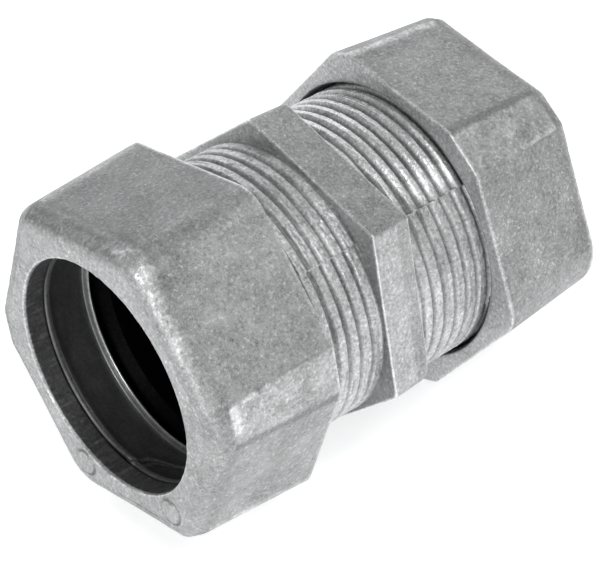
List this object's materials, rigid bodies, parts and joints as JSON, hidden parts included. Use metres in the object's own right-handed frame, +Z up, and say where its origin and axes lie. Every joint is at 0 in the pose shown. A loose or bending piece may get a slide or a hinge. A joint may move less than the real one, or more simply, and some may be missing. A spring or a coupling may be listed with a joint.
{
  "type": "conduit compression coupling",
  "caption": "Straight compression coupling for thin-wall conduit: threaded die-cast body, hex compression nuts and split gripping rings.",
  "frame": {"origin": "on the conduit axis, midway between the coupling's two ends; the body's own centre is 0.4 mm to the left, because the right nut is screwed on 0.8 mm less", "axes": "+X along the conduit axis toward the right nut, +Z up as the coupling lies on a table, +Y toward the back"},
  "size_m": [0.0624, 0.0454, 0.044],
  "materials": {
    "cast_zinc": "satin",
    "ring_steel": "satin"
  },
  "bodies": {
    "body": {"coupling_body": "cast_zinc"},
    "left_ring": {"left_compression_ring": "ring_steel"},
    "left_nut": {"left_compression_nut": "cast_zinc"},
    "right_ring": {"right_compression_ring": "ring_steel"},
    "right_nut": {"right_compression_nut": "cast_zinc"}
  },
  "joints": [
    {"name": "left_nut_travel", "type": "slide", "parent": "body", "child": "left_ring", "axis": [1, 0, 0], "range_m": [-0.0046, 0.00175]},
    {"name": "left_nut_turn", "type": "hinge", "parent": "left_ring", "child": "left_nut", "pos_m": [-0.0224, 0, 0], "axis": [1, 0, 0], "range_deg": [-900, 345]},
    {"name": "right_nut_travel", "type": "slide", "parent": "body", "child": "right_ring", "axis": [-1, 0, 0], "range_m": [-0.00405, 0.00255]},
    {"name": "right_nut_turn", "type": "hinge", "parent": "right_ring", "child": "right_nut", "pos_m": [0.0224, 0, 0], "axis": [-1, 0, 0], "range_deg": [-800, 505]}
  ],
  "couplings": [
    {"joint": "left_nut_travel", "follows": "left_nut_turn", "m_per_rad": 0.00028648},
    {"joint": "right_nut_travel", "follows": "right_nut_turn", "m_per_rad": 0.00028648}
  ]
}
